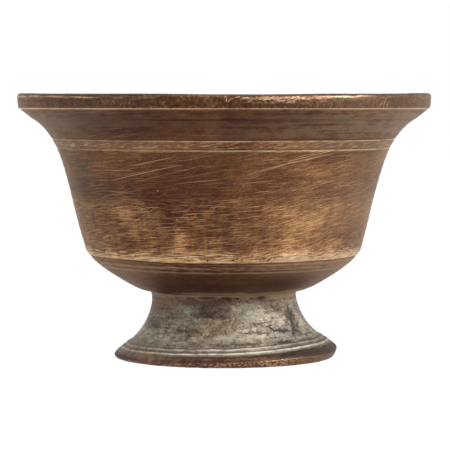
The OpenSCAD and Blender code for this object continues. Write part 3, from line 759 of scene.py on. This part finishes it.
# painted glints: pale marks along the top of the lip, on worn metal
top_wear_and_glint = g.math("MAXIMUM", g.math("MAXIMUM", g1 * 0.18, g2), g.math("MAXIMUM", g.math("MAXIMUM", lline, rline), hook)) * out
col = g.mix(top_wear_and_glint * g.ramp(grain, 0.36, 0.56, 0.45, 1.0) * 0.85, col, bronze(244, 208, 176))
rimtop = g.ramp(dep, 0.85, 0.35)
col = g.mix(rimtop * 0.75 * out, col, bronze(66, 46, 34))
# a pale line along the lip's lower edge: worn metal, partly painted highlight
aris = g.bell(dep + (spk - 0.5) * 0.22, 6.0, 0.46) * out
col = g.mix(aris * 0.85 * g.ramp(spk + M * 0.3, 0.25, 0.50, 0.5, 1.0), col, bronze(244, 200, 168))

bright = g.math("MAXIMUM", g.math("MAXIMUM", HB * scour * 0.7 * wall, scr), g.math("MAXIMUM", top_wear_and_glint, g.math("MAXIMUM", shw * 0.8, aris)))
rough = (0.47 + G * 0.14 - bright * 0.12 + below * 0.04).clamp()
metal = (0.72 + bright * 0.2).clamp()
height = (turn * 0.5 + grain * 0.3 + (HB - HD) * (wall * 0.35) + (spk + chat) * (lip * 0.6))
bowl_mat = g.finish(col, rough, metal, height, 0.07, spec=0.3, tint=(1.0, 0.88, 0.76))
bowl.data.materials.append(bowl_mat)

# ------------------------------------------------------------------ foot material
KF = 0.54
warm = lambda c: (c[0] * 1.05, c[1], c[2] * 0.94)
g = Graph("patinated foot bronze")
p, x, y, z, u, uv = surface_coords(g, 32.0)
uf = u * g.ramp(g.math("ABSOLUTE", u), 96.0, 66.0)
oz = g.attr("own_z"); mould = g.attr("mould"); hollow = g.attr("hollow")
fuv = g.vec(u, oz, 0.0)
def bent(amount, scale, lift):
    w_ = g.node("ShaderNodeVectorMath", operation="MULTIPLY_ADD")
    n_ = g.noise(p, scale, 3, 0.6, colour=True)
    sub = g.node("ShaderNodeVectorMath", operation="SUBTRACT")
    g.set(sub.inputs[0], n_); sub.inputs[1].default_value = (0.5, 0.5, 0.5)
    g.set(w_.inputs[0], Sock(g, sub.outputs[0])); w_.inputs[1].default_value = (amount, lift, 0); g.set(w_.inputs[2], fuv)
    return Sock(g, w_.outputs[0])
soft_uv = bent(10.0, 0.45, 7.0)
crack_uv = bent(3.8, 0.75, 3.8)
m1 = g.noise(p, 0.07, 3, 0.6)
m2 = g.noise(g.scale(p, (1, 1, 1.5)), 0.30, 4, 0.65)
m3 = g.noise(g.scale(p, (0.35, 0.35, 1.8)), 0.9, 3, 0.65)
grain = g.noise(p, 1.25, 3, 0.7)
fleck = g.noise(p, 0.75, 2, 0.5)
F1 = g.ramp(m1, 0.35, 0.65) - 0.5
F2 = g.ramp(m2, 0.34, 0.66) - 0.5
F3 = g.ramp(m3, 0.36, 0.64) - 0.5
FG = grain - 0.5
# broad patches, front and back: (u, own height, degrees, half length, half height, strength)
darkb = g.marks(soft_uv, [
    (-7.0, 23.6, 0, 14.0, 2.0, 0.9), (-5.0, 19.9, 0, 11.0, 3.2, 0.9), (16.7, 23.8, 0, 3.4, 1.3, 1.0), (22.0, 20.4, 0, 6.0, 1.9, 0.6), (-15.0, 11.8, 0, 8.5, 2.5, 0.6), (-36.0, 20.5, 0, 13.0, 2.0, 0.5),
    (-35.5, 14.3, 0, 11.0, 2.8, 0.5), (-0.6, 13.3, 0, 6.0, 2.6, 0.35), (31.5, 16.6, 80, 5.5, 3.0, 0.65), (28.5, 11.6, 0, 8.0, 2.2, 0.65), (24.0, 7.4, 0, 8.0, 0.9, 0.6), (-24.0, 11.8, 0, 9.0, 1.6, 0.35),
    (58, 20, 0, 12, 3, 0.7), (70, 13, 0, 9, 3, 0.6), (88, 22, 0, 14, 2, 0.8), (-62, 18, 0, 12, 3, 0.7), (-84, 12, 0, 10, 3, 0.6), (-75, 23, 0, 12, 2, 0.7),
])
lightb = g.marks(soft_uv, [
    (16.7, 17.6, 0, 10.0, 3.4, 0.9), (23.0, 15.6, 0, 9.0, 3.0, 0.75), (11.7, 11.0, 0, 10.0, 2.8, 0.8), (1.5, 9.9, 0, 8.0, 1.8, 0.5), (7.0, 21.0, 0, 5.0, 2.2, 0.6), (40.0, 14.0, 0, 12.0, 3.2, 0.6), (34.0, 20.5, 0, 7.0, 2.4, 0.5),
    (-26.0, 15.9, 0, 10.0, 1.9, 0.35), (-15.5, 20.2, 0, 6.0, 2.2, 0.4), (66, 17, 0, 10, 3, 0.7), (92, 15, 0, 12, 4, 0.7), (-50, 12, 0, 9, 3, 0.6), (-92, 18, 0, 8, 3, 0.6), (-70, 14, 0, 7, 2, 0.6),
])
turq = g.marks(soft_uv, [
    (-15.7, 20.2, 0, 5.0, 2.4, 0.9), (-11.6, 15.6, 0, 2.8, 2.0, 0.9), (11.1, 17.8, 0, 6.0, 2.2, 0.9), (1.5, 9.5, 0, 4.0, 2.0, 0.5), (-22.7, 22.3, 0, 4.6, 1.9, 0.5), (62, 21, 0, 6, 2, 0.8), (96, 18, 0, 6, 3, 0.7), (-58, 20, 0, 7, 2, 0.8), (-88, 16, 0, 5, 2, 0.7),
])
ochre = g.marks(soft_uv, [
    (-1.8, 13.4, 0, 11.0, 4.4, 0.8), (7.0, 23.6, 0, 7.0, 1.5, 0.8), (4.6, 16.9, 0, 5.5, 2.6, 0.6), (-25.7, 24.4, 0, 13.0, 1.9, 0.8), (31.4, 21.6, 0, 8.0, 2.0, 0.5), (-16.1, 18.0, 0, 6.0, 1.7, 0.4), (76, 12, 0, 8, 3, 0.6), (-78, 20, 0, 9, 3, 0.6),
])
tf = 0.51 + F1 * 0.08 + F2 * 0.18 + F3 * 0.16 + FG * 0.62 + (fleck - 0.5) * 0.3
tf = tf + lightb * 0.18 - darkb * 0.28 + g.ramp(uf, 5.0, 30.0) * 0.02 + g.bell(oz, 11.0, 5.0) * (g.ramp(uf, 0.0, -20.0) * 0.16 + 0.05)
tf = tf - g.ramp(oz + F2 * 3.0, 21.5, 24.0) * g.bell(uf, -1.0, 27.0) * 0.26 - g.ramp(uf, 14.0, 30.0) * 0.05 - g.ramp(uf, 12.0, 22.0) * g.bell(mould, 0.4, 0.75) * 0.18
foot_stops = [(0.0, shade(warm(lin(44, 31, 24)), KF)), (0.2, shade(warm(lin(78, 60, 48)), KF)), (0.4, shade(warm(lin(110, 95, 80)), KF)), (0.6, shade(warm(lin(146, 136, 119)), KF)), (0.8, shade(warm(lin(184, 177, 161)), KF)), (1.0, shade(warm(lin(220, 214, 200)), KF))]
col = g.ramp_colour(tf, foot_stops)
col = g.mix(turq * g.ramp(m2, 0.30, 0.58) * 0.55, col, shade(warm(lin(132, 150, 136)), KF))
col = g.mix(ochre * g.ramp(fleck, 0.40, 0.60) * 0.5, col, shade(warm(lin(176, 150, 112)), KF))
rust = g.ramp(oz + F2 * 3.0, 22.6, 24.6) * g.ramp(fleck, 0.42, 0.58) * (1.0 - hollow)
col = g.mix(g.ramp(oz + F2 * 2.5, 21.2, 23.6) * (1.0 - hollow) * 0.45, col, shade(warm(lin(108, 74, 50)), KF))
col = g.mix(rust * 0.65, col, shade(warm(lin(134, 86, 52)), KF))
neck_l = g.ramp(uf, -14.0, -24.0) * g.ramp(uf, -60.0, -40.0) * g.ramp(oz, 16.0, 21.0) * (1.0 - hollow)
col = g.mix(neck_l * 0.6, col, shade(warm(lin(128, 92, 68)), KF))
neck_r = g.bell(uf, 30.0, 16.0) * g.ramp(oz, 19.0, 22.0) * (1.0 - hollow)
col = g.mix(neck_r * 0.45, col, shade(warm(lin(150, 130, 104)), KF))
cool = g.bell(uf, 27.0, 17.0) * g.bell(oz, 10.5, 5.5) * (1.0 - hollow)
col = g.mix(cool * 0.30, col, shade(warm(lin(200, 202, 194)), KF))
# small dark flecks, thickest near the seam and in the ochre
flecks = g.ramp(fleck + ochre * 0.05 + g.ramp(oz, 20.0, 24.0, 0.0, 0.04) * g.ramp(uf, -24.0, -12.0), 0.615, 0.665)
col = g.mix(flecks * 0.75, col, shade(warm(lin(66, 48, 38)), KF))
# level streaks
dash = g.strokes(crack_uv, 0, 9.0, 2.0, 0.14, 0.30, 7, 0.08)
dash2 = g.strokes(fuv, 8, 6.0, 2.0, 0.12, 0.25, 8, 0.5)
col = g.mix(dash * 0.65 * (1.0 - hollow), col, shade(warm(lin(62, 47, 38)), KF))
col = g.mix(dash2 * 0.6, col, shade(warm(lin(210, 202, 186)), KF))
# cracks and dents
line_uv = bent(1.0, 0.30, 1.0)
level = g.marks(line_uv, [
    (-27.0, 17.2, 2, 14.0, 0.34, 0.7), (-27.0, 13.6, 2, 12.5, 0.30, 0.6), (-4.1, 17.8, -2, 11.0, 0.32, 0.7), (12.5, 11.4, -2, 9.0, 0.30, 0.8), (4.2, 7.9, -1, 14.0, 0.30, 0.8), (34.0, 9.2, -2, 12.0, 0.30, 0.7), (15.3, 14.8, 5, 5.2, 0.30, 0.7),
    (-14.5, 12.6, -3, 7.5, 0.5, 0.9), (-30.0, 20.6, 0, 9.0, 0.35, 0.7), (-20.0, 9.2, 1, 9.0, 0.25, 0.6), (22.0, 9.2, -3, 8.0, 0.30, 0.7), (14.0, 9.0, 2, 6.0, 0.22, 0.5), (9.0, 22.2, 0, 5.0, 0.22, 0.6), (-5.0, 21.8, 1, 7.0, 0.3, 0.7),
])
col = g.mix(level * g.ramp(fleck, 0.30, 0.50, 0.25, 1.0) * 0.60, col, shade(warm(lin(66, 50, 41)), KF))
crack = g.marks(crack_uv, [
    (32.4, 18.0, 82, 3.6, 0.8, 1.0), (31.0, 13.6, 70, 4.2, 1.0, 1.0), (28.4, 10.2, 60, 2.4, 0.8, 1.0), (19.4, 12.4, -40, 2.2, 0.7, 1.0), (23.6, 11.4, -4, 5.2, 0.85, 1.0), (31.0, 10.6, -22, 2.8, 0.7, 1.0), (33.6, 17.0, 30, 2.4, 0.6, 0.9), (30.0, 15.8, -40, 2.0, 0.5, 0.9),
    (28.2, 13.9, -33, 2.4, 0.8, 0.9), (34.4, 15.4, 40, 3.2, 0.8, 0.9), (34.0, 12.6, 24, 3.2, 0.8, 0.9), (43.0, 15.6, -70, 5.0, 0.6, 0.8), (40.0, 9.4, -50, 3.4, 0.6, 0.8),
    (21.4, 7.5, 2, 4.4, 0.8, 0.9), (33.6, 7.1, -2, 7.6, 0.7, 0.8), (-13.2, 10.6, 37, 2.4, 0.6, 0.45), (-27.0, 17.2, 2, 13.0, 0.45, 0.45), (-27.0, 13.6, 2, 11.5, 0.4, 0.45), (-15.4, 12.7, -3, 7.5, 0.8, 0.45),
    (-4.1, 17.8, -2, 10.5, 0.7, 0.7), (12.5, 11.4, -2, 9.0, 0.5, 0.6), (4.2, 7.7, -1, 12.0, 0.5, 0.6), (34.0, 9.2, -2, 12.0, 0.5, 0.6), (15.3, 14.8, 5, 5.2, 0.5, 0.6), (10.4, 12.9, 62, 1.6, 0.5, 0.3), (16.8, 23.9, 0, 1.6, 0.5, 0.6),
    (70, 15, 80, 4.5, 0.9, 0.9), (74, 12, 20, 5, 0.8, 0.9), (-80, 15, 70, 4, 0.8, 0.8), (-74, 10, -10, 6, 0.7, 0.8),
])
col = g.mix(crack * 0.90, col, shade(warm(lin(60, 45, 36)), KF))
thin = g.marks(bent(1.6, 0.9, 1.6), [
    (32.4, 18.0, 84, 3.8, 0.35, 1.0), (31.2, 13.8, 72, 4.4, 0.45, 1.0), (28.6, 10.2, 60, 2.8, 0.40, 1.0), (18.6, 12.7, -32, 2.6, 0.40, 1.0), (23.2, 11.5, -4, 5.2, 0.45, 1.0), (31.2, 10.8, -24, 3.0, 0.35, 1.0), (34.0, 16.8, 34, 2.6, 0.28, 0.9),
    (29.6, 15.6, -44, 2.0, 0.28, 0.9), (34.2, 13.2, 28, 2.6, 0.26, 0.9), (42.0, 15.5, -68, 5.0, 0.28, 0.9), (39.6, 9.4, -50, 3.0, 0.28, 0.8), (21.4, 7.6, 3, 4.0, 0.35, 0.9), (-13.0, 10.6, 38, 2.0, 0.22, 0.8), (10.6, 13.2, 64, 1.2, 0.25, 0.35),
    (12.4, 14.6, 20, 1.6, 0.25, 0.5), (16.6, 23.9, 0, 1.6, 0.5, 1.0), (9.8, 23.8, 0, 1.2, 0.35, 0.9), (-12.0, 24.0, 0, 1.5, 0.35, 0.8), (-2.0, 23.9, 0, 1.6, 0.4, 0.8), (2.5, 23.7, 0, 0.9, 0.35, 0.8), (-20.0, 23.6, 0, 1.6, 0.35, 0.7),
])
col = g.mix(thin * 0.82, col, shade(warm(lin(48, 34, 27)), KF))
near = g.marks(fuv, [(31.0, 14.0, 75, 7.0, 6.0, 1.0), (24.0, 20.5, 0, 7.0, 2.5, 0.9), (22.0, 11.5, 0, 8.0, 2.5, 0.8)])
leaf = near * g.ramp(g.noise(p, 0.62, 3, 0.6), 0.54, 0.60)
col = g.mix(leaf * 0.8, col, shade(warm(lin(66, 52, 46)), KF))
# flange: beads between dark cuts, then the brown worn band
leftness = g.ramp(uf, -8.0, -34.0)
beadpat = g.ramp(m2 + F1 * 0.15, 0.30, 0.55, 0.25, 1.0)
beads = g.math("MAXIMUM", g.bell(mould, 0.26, 0.14) * 0.7 * g.ramp(uf, 10.0, 24.0, 1.0, 0.55), g.bell(mould, 0.70, 0.14)) * beadpat * g.ramp(uf, 20.0, 40.0, 1.0, 0.35)
beadcol = g.mix(leftness, shade(warm(lin(242, 242, 236)), KF), shade(warm(lin(228, 200, 172)), KF))
col = g.mix(beads * g.ramp(uf, -10.0, -34.0, 0.88, 0.95), col, beadcol)
cuts = g.math("MAXIMUM", g.math("MAXIMUM", g.bell(mould, 0.05, 0.10), g.bell(mould, 0.48, 0.09)), g.bell(mould, 0.93, 0.12))
col = g.mix(cuts * g.ramp(m2, 0.28, 0.50, 0.30, 0.72) * (1.0 - leftness * 0.55) * g.ramp(uf, 26.0, 46.0, 1.0, 0.55), col, shade(warm(lin(66, 52, 40)), KF))
brown = g.ramp(mould + F2 * 0.20 + FG * 0.2, 0.90, 1.06)
tb = 0.49 + F2 * 0.34 + F1 * 0.12 + FG * 0.55 + leftness * 0.14 - g.ramp(uf, -20.0, -34.0) * g.ramp(oz, 3.8, 2.2) * 0.42 - g.ramp(uf, 3.0, 12.0) * 0.16 - g.ramp(uf, 14.0, 28.0) * 0.15 + g.ramp(uf, 42.0, 60.0) * 0.16 - g.ramp(uf, 8.0, 15.0) * 0.19 - g.bell(oz, 2.8, 1.2) * g.ramp(uf, 8.0, 16.0) * 0.12 - g.bell(mould, 1.02, 0.16) * g.bell(uf, 0.0, 26.0) * 0.26 - g.bell(uf, 0.0, 22.0) * 0.08
redline = g.bell(oz + F1 * 0.4 + g.ramp(uf, 0.0, 16.0) * 0.2, 2.6, 0.75) * g.ramp(uf, -24.0, -12.0) * g.ramp(uf, 22.0, 6.0)
browncol = g.ramp_colour(tb, [(0.0, shade(warm(lin(46, 27, 21)), KF)), (0.3, shade(warm(lin(84, 55, 43)), KF)), (0.55, shade(warm(lin(122, 94, 76)), KF)), (0.8, shade(warm(lin(160, 138, 116)), KF)), (1.0, shade(warm(lin(190, 168, 142)), KF))])
col = g.mix(brown * 0.95, col, browncol)
col = g.mix(brown * g.bell(uf, -2.0, 24.0) * g.bell(mould, 1.12, 0.22) * 0.45, col, shade(warm(lin(82, 78, 62)), KF))
col = g.mix(redline * 0.85, col, shade(warm(lin(66, 36, 18)), KF))
# bottom edge rubbed bright in specks
edge = g.ramp(oz + FG * 0.8 + g.ramp(uf, 20.0, 44.0) * 0.9, 2.4, 1.7) * (1.0 - hollow)
esp = g.noise(g.scale(p, (0.55, 0.55, 1.3)), 1.7, 3, 0.7)
dull = g.ramp(uf, 12.0, 28.0)
edgek = edge * g.ramp(esp + FG * 0.15 + g.ramp(m1, 0.35, 0.65, -0.04, 0.04), 0.50, 0.59) * (1.0 - dull * 0.75)
edged = edge * g.ramp(g.noise(p, 0.42, 3, 0.6), 0.50, 0.62) * (1.0 - dull * 0.7)
toplip = g.bell(oz + FG * 0.5 + g.ramp(uf, 20.0, 44.0) * 0.9, 1.90, 0.26) * g.ramp(uf, 4.0, 13.0) * g.ramp(uf, 30.0, 20.0) * (1.0 - hollow)
col = g.mix(edge * 0.75 * g.ramp(uf, 30.0, 50.0, 1.0, 0.3), col, g.mix(dull, shade(warm(lin(92, 60, 42)), KF), shade(warm(lin(112, 78, 52)), KF)))
col = g.mix(edged * 0.7, col, shade(warm(lin(66, 36, 24)), KF))
col = g.mix(edgek * 0.8, col, shade(warm(lin(214, 172, 134)), KF))
col = g.mix(toplip * 0.45, col, shade(warm(lin(226, 184, 140)), KF))
col = g.mix(hollow * 0.7, col, shade(warm(lin(88, 76, 62)), KF))
rough = (0.58 + FG * 0.2 - edgek * 0.15).clamp()
metal = (0.18 + brown * 0.35 + edgek * 0.3).clamp()
height = (m2 * 1.0 + grain * 0.8 + m3 * 0.6 - dash * 0.6 - crack * 1.8 - flecks * 0.6)
foot_mat = g.finish(col, rough, metal, height, 0.10, spec=0.3)
foot.data.materials.append(foot_mat)

# ------------------------------------------------------------------ solder material
g = Graph("dull solder")
p, x, y, z, u, uv = surface_coords(g, 28.0)
uf = u * g.ramp(g.math("ABSOLUTE", u), 84.0, 58.0)
m1 = g.noise(p, 0.25, 4, 0.6)
m2 = g.noise(p, 1.1, 3, 0.65)
fillet = z + u * 0.0 + (m1 - 0.5) * 0.7
lft = g.ramp(uf, -12.0, -22.0) * g.ramp(uf, -60.0, -40.0)
rgt = g.ramp(uf, 13.0, 22.0) * g.ramp(uf, 70.0, 50.0)
pale = g.ramp(fillet, SEAT - 1.35, SEAT - 0.85)
brownc = g.mix(g.ramp(m1, 0.36, 0.60), shade(lin(84, 58, 40), KF), shade(lin(136, 102, 74), KF))
col = g.mix(pale, brownc, g.mix(rgt, shade(lin(174, 147, 116), KF), shade(lin(200, 172, 134), KF)))
col = g.mix(lft * 0.8, col, shade(lin(142, 106, 80), KF))
col = g.mix(rgt * 0.7, col, shade(lin(176, 150, 114), KF))
zu = g.vec(u, fillet, 0.0)
gold_sp = g.marks(zu, [(8.4, 24.6, 0, 3.0, 0.8, 1.0), (11.5, 24.9, 0, 2.0, 0.5, 0.8), (32.4, 24.2, 90, 2.4, 2.2, 1.0), (-20.0, 24.6, 0, 3.0, 0.8, 0.4), (5.0, 23.9, 0, 2.0, 0.5, 0.7), (60.0, 24.5, 0, 4.0, 0.8, 0.8), (-58.0, 24.5, 0, 4.0, 0.8, 0.8)])
col = g.mix(gold_sp * 0.5, col, shade(lin(188, 136, 84), KF))
dark_sp = g.marks(zu, [(14.6, 24.5, 0, 2.4, 0.9, 1.0), (-6.2, 24.75, 0, 4.4, 0.7, 0.9), (1.4, 24.5, 0, 2.6, 0.9, 1.0), (-13.0, 24.3, 0, 2.0, 0.8, 0.7), (5.2, 24.3, 0, 1.0, 0.5, 0.8), (10.6, 24.4, 0, 0.8, 0.6, 0.8), (-19.0, 24.0, 0, 1.2, 0.6, 0.5), (70.0, 24.5, 0, 3.0, 0.8, 0.8), (-66.0, 24.5, 0, 3.0, 0.8, 0.8)])
col = g.mix(g.math("MAXIMUM", dark_sp * 0.9, g.ramp(m2, 0.42, 0.32) * (1.0 - lft) * 0.5), col, shade(lin(48, 30, 22), KF))
solder_mat = g.finish(col, 0.6, 0.3, m2 + m1 - dark_sp * 1.5, 0.15)
solder.data.materials.append(solder_mat)

# ------------------------------------------------------------------ frame
for ob, node, slot in ((bowl, "bowl", "bowl_bronze"), (foot, "foot", "foot_bronze"), (solder, "solder_joint", "solder")):
    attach(ob, "root")
    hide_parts(node)

# ------------------------------------------------------------------ floor, world, lights
bpy.ops.mesh.primitive_plane_add(size=60, location=(0, 0, 0))
floor = bpy.context.object
floor.name = "floor"
fm = bpy.data.materials.new("light table")
fm.use_nodes = True
nt = fm.node_tree
bs = nt.nodes["Principled BSDF"]
bs.inputs["Base Color"].default_value = (0.05, 0.05, 0.05, 1)
bs.inputs["Roughness"].default_value = 1.0
bs.inputs["Specular IOR Level"].default_value = 0.0
bs.inputs["Emission Color"].default_value = (1, 1, 1, 1)
bs.inputs["Emission Strength"].default_value = 0.97
floor.data.materials.append(fm)

scene = bpy.context.scene
scene.view_settings.view_transform = "Standard"
scene.view_settings.look = "None"
scene.view_settings.exposure = 0.0
scene.view_settings.gamma = 1.0
w = bpy.data.worlds.new("studio")
scene.world = w
w.use_nodes = True
w.node_tree.nodes["Background"].inputs[0].default_value = (1, 1, 1, 1)
w.node_tree.nodes["Background"].inputs[1].default_value = 1.0

def softbox(name, loc, aim, sx, sy, watts, colour=(1, 1, 1)):
    d = bpy.data.lights.new(name, "AREA")
    d.shape = "RECTANGLE"; d.size = sx; d.size_y = sy
    d.energy = watts; d.color = colour
    o = bpy.data.objects.new(name, d)
    scene.collection.objects.link(o)
    o.location = loc
    o.rotation_euler = (Vector(aim) - Vector(loc)).to_track_quat("-Z", "Y").to_euler()
    o.visible_camera = False
    return o

softbox("key", (1.1, -0.75, 0.8), (0, 0, 0.05), 0.8, 0.8, 42)
softbox("fill", (-1.0, -0.7, 0.5), (0, 0, 0.05), 0.7, 0.7, 3)
softbox("top", (0.1, -0.1, 1.3), (0, 0, 0.05), 0.9, 0.9, 10)

bpy.context.view_layer.update()
